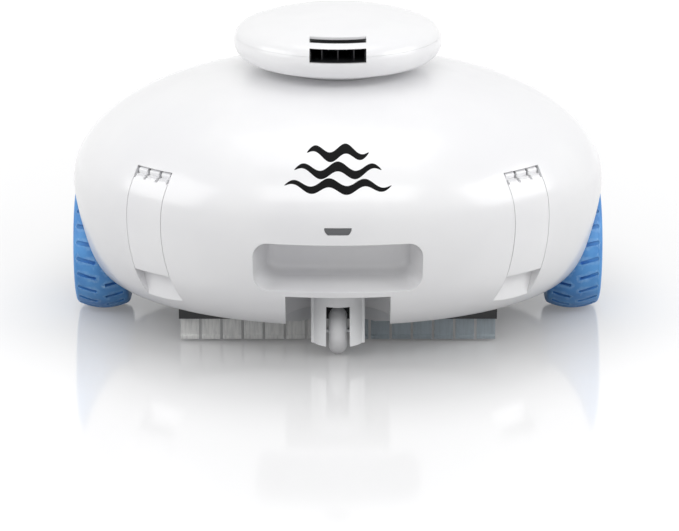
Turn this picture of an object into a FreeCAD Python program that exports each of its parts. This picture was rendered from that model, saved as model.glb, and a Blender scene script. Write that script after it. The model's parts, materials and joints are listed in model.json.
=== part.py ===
import FreeCAD, Part
import math
import os
import re
import Sketcher

from FreeCAD import Placement, Rotation, Vector

# Cordless robotic pool cleaner, millimetres.  +Z is up, the front faces -Y, the floor is Z = 0.
# Left means -X and right means +X.  Left-hand twins are mirror images in the YZ plane.

# ------------------------------------------------------------------ driving dimensions
SIZES = {
    # body shell
    "body_width": 397.0,
    "body_depth": 325.5,
    "equator_height": 105.4,
    "dome_rise": 84.4,
    "shoulder_power": 2.56,
    "crown_power": 1.9,
    "rim_height": 31.0,
    "rim_width": 344.0,
    "side_power": 3.3,
    "tuck_power": 1.25,
    "wall": 2.8,
    "gap": 0.4,
    # hand grip pressed into the front
    "grip_width": 127.0,
    "grip_low": 61.8,
    "grip_high": 97.7,
    "grip_back": 112.0,
    "grip_corner": 11.0,
    "grip_draft": 13.0,
    "grip_fillet": 6.0,
    # caster bay under the grip
    "bay_width": 75.0,
    "bay_side": 118.0,
    "bay_back": 92.5,
    "bay_roof": 57.5,
    # caster
    "fork_width": 39.0,
    "fork_front": 127.0,
    "fork_bottom": 13.0,
    "fork_slot": 17.0,
    "fork_slot_top": 43.3,
    "fork_top": 56.0,
    "swivel_back": 118.5,
    "swivel_pin_radius": 3.0,
    "caster_axle_back": 111.4,
    "caster_radius": 17.2,
    "caster_width": 13.5,
    "caster_axle_radius": 2.0,
    "running_fit": 0.06,
    # drive wheels
    "wheel_radius": 50.0,
    "wheel_inner": 157.5,
    "wheel_outer": 197.5,
    "tyre_bore": 38.0,
    "tyre_crown": 4.0,
    "tyre_slots": 24.0,
    "slot_depth": 2.6,
    "slot_width": 3.0,
    "slot_slant": 12.0,
    "arch_radius": 54.0,
    "arch_inner": 149.5,
    "liner_wall": 2.2,
    "axle_radius": 4.0,
    "bush_radius": 6.5,
    "hub_boss_radius": 11.0,
    # wheel gearing
    "gear_module": 1.5,
    "gear_teeth": 40.0,
    "pinion_teeth": 12.0,
    "gear_width": 5.0,
    "gear_backlash": 0.25,
    "pinion_angle": 60.0,
    "drive_motor_radius": 15.0,
    "drive_motor_length": 56.0,
    # tray under the body
    "tray_bottom": 20.0,
    "tray_flat": 122.0,
    "tray_wall": 3.0,
    "tray_lip": 40.0,
    # wiper
    "flap_count": 15.0,
    "flap_pitch": 15.6,
    "flap_width": 13.6,
    "flap_thick": 2.2,
    "flap_low": 2.2,
    "flap_back": 85.5,
    "rail_low": 18.7,
    "rail_depth": 9.0,
    "rail_high": 30.4,
    # latches
    "latch_yaw": 38.5,
    "latch_shift": 38.0,
    "latch_width": 33.5,
    "latch_top": 130.5,
    "latch_middle": 105.0,
    "latch_bottom": 62.0,
    "latch_lean_top": 0.9,
    "latch_lean_middle": -0.3,
    "latch_lean_bottom": 4.2,
    "latch_thick": 2.6,
    "hinge_out": 162.6,
    "hinge_height": 134.2,
    "hinge_opening_top": 137.8,
    "hinge_opening_out": 157.5,
    "knuckle_radius": 2.9,
    "hinge_pin_radius": 1.2,
    "notch_bottom": 42.0,
    "notch_lean": 10.0,
    "notch_out": 165.0,
    # head on top
    "head_radius": 76.7,
    "head_equator": 212.5,
    "head_rise": 17.7,
    "head_drop": 21.5,
    "head_drop_power": 4.2,
    "head_wall": 2.4,
    "neck_radius": 46.0,
    "duct_radius": 27.0,
    "duct_wall": 2.5,
    "jet_width": 41.0,
    "jet_low": 208.4,
    "jet_high": 218.0,
    "slit_inner": 59.2,
    "slit_outer": 67.1,
    # pump
    "pump_motor_radius": 18.0,
    "pump_motor_low": 58.0,
    "pump_motor_high": 112.0,
    "impeller_low": 118.0,
    "impeller_tall": 14.0,
    "shaft_radius": 2.5,
    # suction inlets
    "inlet_width": 56.0,
    "inlet_length": 20.0,
    "inlet_centre": 50.0,
    "inlet_back": 56.0,
    "throat_top": 46.0,
    "throat_wall": 2.0,
    # filter basket
    "basket_width": 170.0,
    "basket_front": 77.5,
    "basket_rear": 30.0,
    "basket_high": 90.0,
    "basket_rib": 4.0,
    # battery box
    "battery_width": 150.0,
    "battery_front": 42.0,
    "battery_rear": 108.0,
    "battery_low": 36.0,
    "battery_high": 84.0,
    "screw_radius": 1.5,
    "cell_radius": 9.2,
    "cell_length": 65.0,
    # status light, rear controls
    "lens_top": 110.3,
    "lens_tall": 4.7,
    "lens_width": 19.0,
    "port_height": 92.0,
    "port_side": 28.0,
    "port_radius": 11.0,
    "button_radius": 9.0,
    "button_travel": 1.6,
}

UP = Vector(0, 0, 1)
ALONG_X = Rotation(Vector(0, 1, 0), 90)
ALONG_Y = Rotation(Vector(1, 0, 0), -90)

doc = FreeCAD.newDocument("PoolCleaner")
sheet = doc.addObject("Spreadsheet::Sheet", "Sizes")
for row, (alias, value) in enumerate(SIZES.items(), start=1):
    sheet.set("A%d" % row, alias)
    sheet.set("B%d" % row, str(value))
    sheet.setAlias("B%d" % row, alias)
doc.recompute()

NODES = {}


# ------------------------------------------------------------------ small helpers
def size(alias):
    """One driving dimension, read back from the sheet."""
    return float(sheet.get(alias))


def on_sheet(text):
    """An expression in which every driving dimension is looked up on the sheet."""
    return re.sub(r"[a-z_]+", lambda word: "Sizes." + word.group() if word.group() in SIZES else word.group(),
                  str(text))


def bind(thing, **expressions):
    """Tie properties of an object to expressions in the driving dimensions."""
    for name, text in expressions.items():
        thing.setExpression(name, on_sheet(text))
    return thing


def place(thing, x=0, y=0, z=0, turn=None):
    """Turn an object about its origin and tie its place to the sheet."""
    thing.Placement = Placement(Vector(), turn or Rotation())
    for axis, text in (("x", x), ("y", y), ("z", z)):
        thing.setExpression("Placement.Base." + axis, on_sheet(text))
    return thing


def box(name, low, high):
    """A box between two corners given as expressions."""
    thing = doc.addObject("Part::Box", name)
    spans = ["(%s) - (%s)" % (top, bottom) for bottom, top in zip(low, high)]
    bind(thing, Length=spans[0], Width=spans[1], Height=spans[2])
    return place(thing, *low)


def cylinder(name, radius, length, x=0, y=0, z=0, turn=None):
    thing = doc.addObject("Part::Cylinder", name)
    bind(thing, Radius=radius, Height=length)
    return place(thing, x, y, z, turn)


def cone(name, radius_low, radius_high, length, x=0, y=0, z=0, turn=None):
    thing = doc.addObject("Part::Cone", name)
    bind(thing, Radius1=radius_low, Radius2=radius_high, Height=length)
    return place(thing, x, y, z, turn)


def coded(name, shape):
    """A shape that is worked out from the sheet in this file."""
    thing = doc.addObject("Part::Feature", name)
    thing.Shape = shape
    return thing


def fuse(name, *things):
    thing = doc.addObject("Part::MultiFuse", name)
    thing.Shapes = list(things)
    thing.Refine = True
    return thing


def common(name, *things):
    thing = doc.addObject("Part::MultiCommon", name)
    thing.Shapes = list(things)
    return thing


def cut(name, base, *tools):
    thing = doc.addObject("Part::Cut", name)
    thing.Base = base
    thing.Tool = tools[0] if len(tools) == 1 else fuse(name + "_tools", *tools)
    return thing


def mirrored(name, source):
    """The twin of an object on the other side of the YZ plane."""
    thing = doc.addObject("Part::Mirroring", name)
    thing.Source = source
    thing.Normal = Vector(1, 0, 0)
    return thing


def group(name, *things):
    """Several separate solids that share one node."""
    thing = doc.addObject("Part::Compound", name)
    thing.Links = list(things)
    return thing


def node(label, thing):
    """Name a finished sub-part; the label also names its file."""
    thing.Label = label
    NODES[label] = thing
    return thing


def node_pair(label, right):
    """A right-hand sub-part and its mirror image."""
    node("right_" + label, right)
    node("left_" + label, mirrored("left_" + label, right))


def twin_node(label, right):
    """Two identical pieces, one each side, that share a node."""
    node(label, group(label + "_pair", right, mirrored(label + "_twin", right)))


# ------------------------------------------------------------------ PartDesign helpers
def new_body(label):
    return doc.addObject("PartDesign::Body", label + "_body")


def new_sketch(body, name, plane):
    """A sketch flat on one of the body's own origin planes."""
    sketch = body.newObject("Sketcher::SketchObject", name)
    origin_plane = [f for f in body.Origin.OriginFeatures if f.Role == plane][0]
    sketch.AttachmentSupport = [(origin_plane, "")]
    sketch.MapMode = "FlatFace"
    return sketch


def pin_point(sketch, geometry, end, x, y):
    """Tie one sketch point to a place given by two expressions."""
    for kind, text in (("DistanceX", x), ("DistanceY", y)):
        value = sheet_value(text)
        if abs(value) < 1e-9:
            axis = -2 if kind == "DistanceX" else -1
            sketch.addConstraint(Sketcher.Constraint("PointOnObject", geometry, end, axis))
            continue
        index = sketch.addConstraint(Sketcher.Constraint(kind, -1, 1, geometry, end, value))
        sketch.setExpression("Constraints[%d]" % index, on_sheet(text))


def sheet_value(text):
    """The present value of an expression in the driving dimensions."""
    probe = sheet.evalExpression(on_sheet(text))
    return float(getattr(probe, "Value", probe))


def outline(sketch, points):
    """A closed outline of straight lines through points given as expressions."""
    places = [Vector(sheet_value(x), sheet_value(y), 0) for x, y in points]
    count = len(places)
    for i in range(count):
        sketch.addGeometry(Part.LineSegment(places[i], places[(i + 1) % count]), False)
    for i in range(count):
        sketch.addConstraint(Sketcher.Constraint("Coincident", i, 2, (i + 1) % count, 1))
    for i, (x, y) in enumerate(points):
        pin_point(sketch, i, 1, x, y)
    return sketch


def circle(sketch, x, y, radius):
    centre = Vector(sheet_value(x), sheet_value(y), 0)
    index = sketch.addGeometry(Part.Circle(centre, Vector(0, 0, 1), sheet_value(radius)), False)
    pin_point(sketch, index, 3, x, y)
    dimension = sketch.addConstraint(Sketcher.Constraint("Radius", index, sheet_value(radius)))
    sketch.setExpression("Constraints[%d]" % dimension, on_sheet(radius))
    return sketch


def revolution(body, name, points):
    """Turn an outline, given as (distance from axis, place on axis), about the body's Z axis."""
    sketch = outline(new_sketch(body, name + "_outline", "XZ_Plane"), points)
    feature = body.newObject("PartDesign::Revolution", name)
    feature.Profile = sketch
    feature.ReferenceAxis = (sketch, ["V_Axis"])
    feature.Angle = 360
    return feature


def polar(body, name, feature, count):
    pattern = body.newObject("PartDesign::PolarPattern", name)
    pattern.Originals = [feature]
    pattern.Axis = (feature.Profile[0], ["N_Axis"])
    pattern.Angle = 360
    pattern.Occurrences = count
    body.Tip = pattern
    return pattern


# ------------------------------------------------------------------ the body's form
def squash(shape):
    """Scale a round form in Y so that its plan becomes the body's ellipse."""
    matrix = FreeCAD.Matrix()
    matrix.A22 = size("body_depth") / size("body_width")
    return shape.transformGeometry(matrix)


def smooth(points):
    """A smooth edge through points."""
    curve = Part.BSplineCurve()
    curve.interpolate(Points=points)
    return curve.toShape()


def dome_outline(inset):
    """Half section of the dome from crown to rim, moved in by the inset."""
    half = size("body_width") / 2 - inset
    rim = size("rim_width") / 2 - inset
    middle = size("equator_height")
    rise = size("dome_rise") - inset
    drop = middle - size("rim_height")
    points = []
    for degrees in range(90, 0, -9):
        angle = math.radians(degrees)
        radius = half * abs(math.cos(angle)) ** (2 / size("shoulder_power")) if degrees < 90 else 0
        points.append(Vector(radius, 0, middle + rise * math.sin(angle) ** (2 / size("crown_power"))))
    for degrees in range(0, 91, 15):
        angle = math.radians(degrees)
        share = abs(math.cos(angle)) ** (2 / size("tuck_power")) if degrees < 90 else 0
        points.append(Vector(rim + (half - rim) * share, 0,
                             middle - drop * math.sin(angle) ** (2 / size("side_power"))))
    return points


def dome_solid(inset):
    """The filled dome, smaller by the inset, closed flat at rim height."""
    points = dome_outline(inset)
    crown, rim = points[0], points[-1]
    low = Vector(0, 0, size("rim_height"))
    edges = [smooth(points), Part.makeLine(rim, low), Part.makeLine(low, crown)]
    return squash(Part.Face(Part.Wire(edges)).revolve(Vector(), UP, 360))


OUTER = dome_solid(0)


def outer_form():
    """A fresh copy of the filled dome, so that one cut can't disturb the next."""
    return OUTER.copy()


def rounded_rectangle(width, low, high, corner, y):
    """A rounded rectangle standing in the plane at depth y."""
    half = width / 2
    box_shape = Part.makeBox(width, 1, high - low, Vector(-half, y, low))
    upright = [e for e in box_shape.Edges if abs(e.tangentAt(e.FirstParameter).y) > 0.9]
    face = [f for f in box_shape.makeFillet(corner, upright).Faces
            if abs(f.CenterOfMass.y - y) < 1e-6][0]
    return face.OuterWire


def grip_form(grow):
    """The hollow of the hand grip, larger all round by grow."""
    mouth_y = -size("body_depth") / 2 - 5
    back_y = -size("grip_back") + grow
    mouth = rounded_rectangle(size("grip_width") + 2 * grow, size("grip_low") - grow,
                              size("grip_high") + grow, size("grip_corner") + grow, mouth_y)
    back = rounded_rectangle(size("grip_width") - 2 * size("grip_draft") + 2 * grow, size("grip_low") - grow,
                             size("grip_high") + grow, size("grip_corner") + grow, back_y)
    form = Part.makeLoft([mouth, back], True, True)
    rear = [e for e in form.Edges if e.BoundBox.YMin > back_y - 0.01]
    return form.makeFillet(size("grip_fillet") + grow, rear)


def bay_form(grow, low, high):
    """The caster bay: straight sides in front and an arched back wall."""
    half = size("bay_width") / 2 + grow
    side_y = -size("bay_side")
    back_y = -size("bay_back") + grow
    front_y = -size("body_depth") / 2 - 5
    corners = [Vector(-half, side_y, low), Vector(-half, front_y, low),
               Vector(half, front_y, low), Vector(half, side_y, low)]
    edges = [Part.makeLine(a, b) for a, b in zip(corners, corners[1:])]
    edges.append(Part.Arc(corners[3], Vector(0, back_y, low), corners[0]).toShape())
    return Part.Face(Part.Wire(edges)).extrude(Vector(0, 0, high - low))


# ------------------------------------------------------------------ latches
def latch_frame(shape):
    """Move a shape from the left latch's own frame, whose -Y points out of the body."""
    yaw = math.radians(size("latch_yaw"))
    origin = Vector(-size("latch_shift") * math.cos(yaw), size("latch_shift") * math.sin(yaw), 0)
    shape.Placement = Placement(origin, Rotation(UP, -size("latch_yaw")))
    return shape


def latch_prism(grow, out_from, out_to):
    """The latch's outline, larger by grow, as a prism between two distances out."""
    half = size("latch_width") / 2 + grow
    levels = [(size("latch_top") + grow, size("latch_lean_top")),
              (size("latch_middle"), size("latch_lean_middle")),
              (size("latch_bottom") - grow, size("latch_lean_bottom"))]
    left = [Vector(lean - half, -out_from, z) for z, lean in levels]
    right = [Vector(lean + half, -out_from, z) for z, lean in levels]
    edges = [Part.Arc(*left).toShape(), Part.makeLine(left[2], right[2]),
             Part.Arc(*right).toShape(), Part.makeLine(right[0], left[0])]
    return latch_frame(Part.Face(Part.Wire(edges)).extrude(Vector(0, out_from - out_to, 0)))


def latch_box(x_low, x_high, out_low, out_high, z_low, z_high):
    """A box in the latch's frame."""
    return latch_frame(Part.makeBox(x_high - x_low, out_high - out_low, z_high - z_low,
                                    Vector(x_low, -out_high, z_low)))


def latch_rod(radius, x_low, x_high):
    """A rod on the latch's hinge line."""
    centre = Vector(x_low, -size("hinge_out"), size("hinge_height"))
    return latch_frame(Part.makeCylinder(radius, x_high - x_low, centre, Vector(1, 0, 0)))


def notch_prism():
    """The finger notch below the latch: a flat cut that runs out of the shell at its foot."""
    half = size("latch_width") / 2
    out = -size("notch_out")
    top, low = size("latch_bottom"), size("notch_bottom") - 2
    lean, low_lean = size("latch_lean_bottom"), size("notch_lean")
    corners = [Vector(lean - half, out, top), Vector(lean + half, out, top),
               Vector(low_lean + half, out, low), Vector(low_lean - half, out, low)]
    return latch_frame(Part.Face(Part.makePolygon(corners + corners[:1])).extrude(Vector(0, -40, 0)))


def hinge_opening(grow):
    """The pocket above the latch, as wide as its seat, in which the hinge turns."""
    half = size("latch_width") / 2 + grow
    lean = size("latch_lean_top")
    return latch_box(lean - half, lean + half, size("hinge_opening_out") - grow, 200,
                     size("latch_top") - 0.5, size("hinge_opening_top") + grow)


def make_latches():
    """Cover latches: a curved plate that hangs from a pin, with a snap nib at its foot."""
    thick, gap = size("latch_thick"), size("gap")
    half = size("latch_width") / 2
    lean = size("latch_lean_top")
    plate = outer_form().common(latch_prism(-gap, 120, 220)).cut(dome_solid(thick))
    knuckles = []
    for low, high in ((-half + 2, -half + 10), (-4.5, 4.5), (half - 10, half - 2)):
        barrel = latch_rod(size("knuckle_radius"), lean + low, lean + high)
        arm = latch_box(lean + low, lean + high, size("hinge_out") - 0.2, size("hinge_out") + 5.6,
                        size("latch_top") - 0.2, size("hinge_height") - 1.5).common(outer_form())
        root = latch_box(lean + low, lean + high, size("hinge_out"), 200, size("latch_top") - 3,
                         size("latch_top") + 1).common(outer_form()).cut(dome_solid(thick))
        knuckles.append(barrel.fuse(arm).fuse(root))
    bottom = size("latch_bottom") + gap
    nib_x = size("latch_lean_bottom")
    nib = latch_box(nib_x - 6, nib_x + 6, size("notch_out") - 3, 173, bottom, bottom + 3).common(outer_form())
    body = plate
    for piece in knuckles + [nib]:
        body = body.fuse(piece)
    pin_bore = size("hinge_pin_radius") + size("running_fit")
    body = body.cut(latch_rod(pin_bore, lean - half - 2, lean + half + 2))
    latch = coded("left_latch_shape", body.removeSplitter())
    pin_rod = latch_rod(size("hinge_pin_radius"), lean - half - 1.5, lean + half + 1.5)
    pin = coded("left_latch_pin_shape", pin_rod)
    node("left_latch", latch)
    node("right_latch", mirrored("right_latch_shape", latch))
    twin_node("latch_pins", pin)


# ------------------------------------------------------------------ dome cover
def both_sides(shape):
    """A left-hand form with its twin."""
    return [shape, shape.mirror(Vector(), Vector(1, 0, 0))]


def make_dome():
    """The white cover: a thin shell with grip, caster bay, latch seats, arches and crown hole."""
    wall, gap = size("wall"), size("gap")
    seat = size("latch_thick") + gap
    half_depth = size("body_depth") / 2
    seat_floor = dome_solid(seat)
    seat_back = outer_form().common(latch_prism(wall, 120, 220)).cut(dome_solid(seat + wall))
    opening = hinge_opening(0)
    additions = both_sides(seat_back)
    cuts = []
    hinge_box = hinge_opening(wall).common(outer_form())
    notch_box = latch_box(-30, 34, size("notch_out") - wall, 200, size("rim_height"),
                          size("latch_bottom") + 4)
    additions += both_sides(hinge_box)
    additions += both_sides(notch_box.common(outer_form()))
    additions.append(grip_form(wall).common(outer_form()))
    additions.append(bay_form(wall, size("rim_height"), size("bay_roof") + wall).common(outer_form()))
    cuts += both_sides(latch_prism(0, 120, 220).cut(seat_floor))
    cuts += both_sides(opening)
    cuts += both_sides(notch_prism())
    lean = size("latch_lean_bottom")
    cuts += both_sides(latch_box(lean - 7, lean + 7, size("notch_out") - 5, 200,
                                 size("latch_bottom") - gap, size("latch_bottom") + 5))
    pin_half = size("latch_width") / 2 + 1.5
    cuts += both_sides(latch_rod(size("hinge_pin_radius"), size("latch_lean_top") - pin_half,
                                 size("latch_lean_top") + pin_half))
    cuts.append(grip_form(0))
    cuts.append(bay_form(0, 0, size("bay_roof")))
    cuts.append(Part.makeCylinder(size("swivel_pin_radius"), 2.6,
                                  Vector(0, -size("swivel_back"), size("bay_roof"))))
    arch_centre = Vector(size("arch_inner"), 0, size("wheel_radius"))
    cuts += both_sides(Part.makeCylinder(size("arch_radius"), 80, arch_centre, Vector(1, 0, 0)))
    cuts.append(Part.makeCylinder(size("duct_radius") + size("duct_wall") + gap, 60, Vector(0, 0, 150)))
    cuts.append(lens_form(0.2).common(Part.makeBox(60, 12, 40, Vector(-30, -half_depth - 4, 90))))
    port = Vector(-size("port_side"), half_depth - 12, size("port_height"))
    button = Vector(size("port_side"), half_depth - 12, size("port_height"))
    cuts.append(Part.makeCylinder(size("port_radius") + gap, 30, port, Vector(0, 1, 0)))
    cuts.append(Part.makeCylinder(size("button_radius") + gap, 30, button, Vector(0, 1, 0)))
    shell = outer_form().cut(dome_solid(wall)).fuse(additions).removeSplitter()
    cover = shell.cut(cuts)
    largest = max(cover.Solids, key=lambda solid: solid.Volume)
    node("dome_cover", coded("dome_cover_shape", largest))


def lens_form(grow):
    """The status window: a bar whose lower corners are rounded off, deep enough to cross the wall."""
    half = size("lens_width") / 2 + grow
    top, low = size("lens_top") + grow, size("lens_top") - size("lens_tall") - grow
    y = -size("body_depth") / 2 - 4
    slope = 2.6
    left, right = Vector(-half, y, top), Vector(half, y, top)
    left_low, right_low = Vector(-half + slope, y, low), Vector(half - slope, y, low)
    bulge = 0.8
    left_mid = (left + left_low) * 0.5 + Vector(-bulge * 0.5, 0, -bulge)
    right_mid = (right + right_low) * 0.5 + Vector(bulge * 0.5, 0, -bulge)
    edges = [Part.makeLine(left, right), Part.Arc(right, right_mid, right_low).toShape(),
             Part.makeLine(right_low, left_low), Part.Arc(left_low, left_mid, left).toShape()]
    return Part.Face(Part.Wire(edges)).extrude(Vector(0, 14, 0))


def make_status_light():
    """Dark lens flush with the shell and the small light board behind it."""
    lens = lens_form(0).common(outer_form()).cut(dome_solid(size("wall") + 1))
    node("status_lens", coded("status_lens_shape", lens))
    behind = "-body_depth / 2 + wall + 1.2"
    board = box("status_board_plate", ("-12", behind, "lens_top - lens_tall - 4"),
                ("12", behind + " + 1.6", "lens_top + 4"))
    node("status_board", board)


# ------------------------------------------------------------------ tray
def make_tray():
    """The tray under the cover: a shallow dish with the caster bay, wheel bays and inlets cut out."""
    rim = size("rim_width") / 2 - size("wall") - size("gap")
    flat, bottom, thick = size("tray_flat"), size("tray_bottom"), size("tray_wall")
    rim_z, lip = size("rim_height"), size("tray_lip")
    under = bottom - 0.5
    section = [(0, under), (flat, under), (rim, rim_z), (rim, lip), (rim - thick, lip),
               (rim - thick, rim_z + 1), (flat, bottom + thick), (0, bottom + thick)]
    wire = Part.makePolygon([Vector(r, 0, z) for r, z in section + section[:1]])
    dish = squash(Part.Face(wire).revolve(Vector(), UP, 360))
    filled = [(0, under), (flat, under), (rim, rim_z), (rim, lip), (0, lip), (0, under)]
    whole = squash(Part.Face(Part.makePolygon([Vector(r, 0, z) for r, z in filled])).revolve(Vector(), UP, 360))
    reach = size("wall") + size("gap")
    bay_wall = bay_form(reach + thick, bottom, lip).common(whole)
    rail_y = -size("flap_back")
    half_rail = size("rail_depth") / 2
    rail_seat = Part.makeBox(size("flap_count") * size("flap_pitch") + 8, size("rail_depth") + 6,
                             lip - bottom, Vector(-size("flap_count") * size("flap_pitch") / 2 - 4,
                                                  rail_y - half_rail - 3, bottom)).common(whole)
    tray = dish.fuse([bay_wall, rail_seat])
    width = size("body_width")
    flat_under = Part.makeBox(width, width, bottom, Vector(-width / 2, -width / 2, 0))
    cuts = [bay_form(reach, 0, 60), bay_form(0, 0, 60), flat_under]
    rail_half = size("flap_count") * size("flap_pitch") / 2 + size("gap")
    cuts.append(Part.makeBox(2 * rail_half, size("rail_depth") + 2 * size("gap"), size("rail_high"),
                             Vector(-rail_half, rail_y - half_rail - size("gap"), size("gap"))))
    liner_x = size("arch_inner") - size("liner_wall") - size("gap")
    liner_y = size("arch_radius") + size("liner_wall") + size("gap")
    for side in (-1, 1):
        low_x = size("arch_inner") if side > 0 else -260
        cuts.append(Part.makeBox(260 - liner_x, 2 * liner_y, 60,
                                 Vector(liner_x if side > 0 else -260, -liner_y, rim_z + 1)))
        bay = Part.makeBox(260 - size("arch_inner"), 2 * size("arch_radius"), 60,
                           Vector(low_x, -size("arch_radius"), 0))
        cuts.append(bay)
        cuts.append(Part.makeBox(size("inlet_width"), size("inlet_length"), 60,
                                 Vector(side * size("inlet_centre") - size("inlet_width") / 2,
                                        -size("inlet_back") - size("inlet_length") / 2, 0)))
    node("base_tray", coded("base_tray_shape", tray.cut(cuts)))


def make_arch_liners():
    """Wheel arch linings: a half tunnel with a flat inner wall that carries the axle and motor."""
    inner, thick, gap = size("arch_inner"), size("liner_wall"), size("gap")
    centre_z = size("wheel_radius")
    floor = size("rim_height") + 1.0
    tunnel = Part.makeCylinder(size("arch_radius") + thick, 60, Vector(inner - thick, 0, centre_z),
                               Vector(1, 0, 0))
    hollow = Part.makeCylinder(size("arch_radius"), 80, Vector(inner, 0, centre_z), Vector(1, 0, 0))
    legs = Part.makeBox(60, 2 * (size("arch_radius") + thick), centre_z - floor,
                        Vector(inner - thick, -size("arch_radius") - thick, floor))
    leg_hollow = Part.makeBox(80, 2 * size("arch_radius"), centre_z, Vector(inner, -size("arch_radius"), 0))
    form = tunnel.fuse(legs).cut([hollow, leg_hollow]).common(dome_solid(size("wall") + gap))
    above = Part.makeBox(100, 200, 200, Vector(inner - 10, -100, floor))
    boss = Part.makeCylinder(12, 18, Vector(inner - thick - 18, 0, centre_z), Vector(1, 0, 0))
    pinion_y, pinion_z = pinion_place()
    axle_hole = Part.makeCylinder(size("axle_radius"), 60, Vector(inner - 30, 0, centre_z), Vector(1, 0, 0))
    shaft_hole = Part.makeCylinder(size("shaft_radius") + 0.5, 60, Vector(inner - 30, pinion_y, pinion_z),
                                   Vector(1, 0, 0))
    liner = form.common(above).fuse(boss).cut([axle_hole, shaft_hole])
    node_pair("wheel_arch", coded("right_wheel_arch_shape", liner.removeSplitter()))


# ------------------------------------------------------------------ drive wheels
def make_tyre():
    """Blue tyre: a crowned band with two rows of slanted grip slots."""
    inner, outer = size("wheel_inner"), size("wheel_outer")
    radius, bore, crown = size("wheel_radius"), size("tyre_bore"), size("tyre_crown")
    middle = (inner + outer) / 2
    shoulder = 3.5
    edge = radius - crown
    corners = [Vector(inner, 0, bore), Vector(inner, 0, edge - shoulder)]
    inner_arc = Part.Arc(corners[1], Vector(inner + 0.9, 0, edge - 0.9),
                         Vector(inner + shoulder, 0, edge + 0.6))
    crown_arc = Part.Arc(Vector(inner + shoulder, 0, edge + 0.6), Vector(middle, 0, radius),
                         Vector(outer - shoulder, 0, edge + 0.6))
    outer_arc = Part.Arc(Vector(outer - shoulder, 0, edge + 0.6), Vector(outer - 0.9, 0, edge - 0.9),
                         Vector(outer, 0, edge - shoulder))
    edges = [Part.makeLine(corners[0], corners[1]), inner_arc.toShape(), crown_arc.toShape(),
             outer_arc.toShape(),
             Part.makeLine(Vector(outer, 0, edge - shoulder), Vector(outer, 0, bore)),
             Part.makeLine(Vector(outer, 0, bore), corners[0])]
    band = Part.Face(Part.Wire(edges)).revolve(Vector(), Vector(1, 0, 0), 360)
    pitch = 360.0 / int(size("tyre_slots"))
    slots = []
    for place_x, length, slant, phase in ((middle + 10.2, 14.5, size("slot_slant"), 0.0),
                                          (middle - 9.6, 13.5, -size("slot_slant"), 0.5)):
        slot = Part.makeBox(length, size("slot_width"), 20, Vector(-length / 2, -size("slot_width") / 2, 0))
        slot = slot.makeFillet(1.2, [e for e in slot.Edges if abs(e.tangentAt(e.FirstParameter).z) > 0.9])
        slot.rotate(Vector(), UP, slant)
        slot.translate(Vector(place_x, 0, radius - crown * 0.35 - size("slot_depth")))
        for i in range(int(size("tyre_slots"))):
            turned = slot.copy()
            turned.rotate(Vector(), Vector(1, 0, 0), (i + phase) * pitch)
            slots.append(turned)
    tyre = band.cut(slots)
    tyre.translate(Vector(0, 0, size("wheel_radius")))
    node_pair("tyre", coded("right_tyre_shape", tyre))


def make_hub():
    """Wheel hub: rim, web with six windows and a boss that runs on the axle."""
    body = new_body("hub")
    boss_in, web_in = "wheel_inner - 1.2", "wheel_outer - 12"
    points = [("bush_radius", boss_in), ("hub_boss_radius", boss_in),
              ("hub_boss_radius", web_in), ("tyre_bore - 4", web_in), ("tyre_bore - 4", "wheel_inner + 1"),
              ("tyre_bore", "wheel_inner + 1"), ("tyre_bore", "wheel_outer - 1"),
              ("tyre_bore - 4", "wheel_outer - 1"),
              ("tyre_bore - 4", "wheel_outer - 7"), ("hub_boss_radius", "wheel_outer - 7"),
              ("hub_boss_radius", "wheel_outer - 5"), ("bush_radius", "wheel_outer - 5")]
    revolution(body, "hub_form", points)
    window = circle(new_sketch(body, "hub_window_outline", "XY_Plane"),
                    "(hub_boss_radius + tyre_bore - 4) / 2", "0", "6.5")
    window.setExpression(".AttachmentOffset.Base.z", on_sheet("wheel_outer - 9"))
    hole = body.newObject("PartDesign::Pocket", "hub_window")
    hole.Profile = window
    hole.Type = "Length"
    hole.Length = 40
    hole.Midplane = True
    polar(body, "hub_windows", hole, 8)
    body.Placement = Placement(Vector(0, 0, size("wheel_radius")), ALONG_X)
    body.setExpression("Placement.Base.z", on_sheet("wheel_radius"))
    node_pair("hub", body)


def involute_gear(teeth, module, backlash, width, bore):
    """A spur gear about Z with one tooth centred on +X."""
    pitch = module * teeth / 2
    base = pitch * math.cos(math.radians(20))
    tip = pitch + 0.9 * module
    root = pitch - 1.25 * module
    half_tooth = math.pi / (2 * teeth) - backlash / (2 * pitch)

    def involute(radius):
        if radius <= base:
            return 0.0
        ratio = math.acos(base / radius)
        return math.tan(ratio) - ratio

    start = max(base, root + 0.2)
    at_pitch = involute(pitch)
    steps = 5
    radii = [start + (tip - start) * i / (steps - 1) for i in range(steps)]

    def point(radius, angle):
        return Vector(radius * math.cos(angle), radius * math.sin(angle), 0)

    edges = []
    step = 2 * math.pi / teeth
    for i in range(int(teeth)):
        centre = i * step
        offsets = [half_tooth + at_pitch - involute(r) for r in radii]
        lower = [point(r, centre - a) for r, a in zip(radii, offsets)]
        upper = [point(r, centre + a) for r, a in zip(radii, offsets)]
        foot_low = point(root, centre - offsets[0])
        foot_high = point(root, centre + offsets[0])
        next_foot = point(root, centre + step - offsets[0])
        flank_low, flank_high = Part.BSplineCurve(), Part.BSplineCurve()
        flank_low.interpolate(Points=lower)
        flank_high.interpolate(Points=list(reversed(upper)))
        edges += [Part.makeLine(foot_low, lower[0]), flank_low.toShape(),
                  Part.makeLine(lower[-1], upper[-1]), flank_high.toShape(),
                  Part.makeLine(upper[0], foot_high), Part.makeLine(foot_high, next_foot)]
    blank = Part.Face(Part.Wire(edges)).extrude(Vector(0, 0, width))
    return blank.cut(Part.makeCylinder(bore, width))


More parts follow.
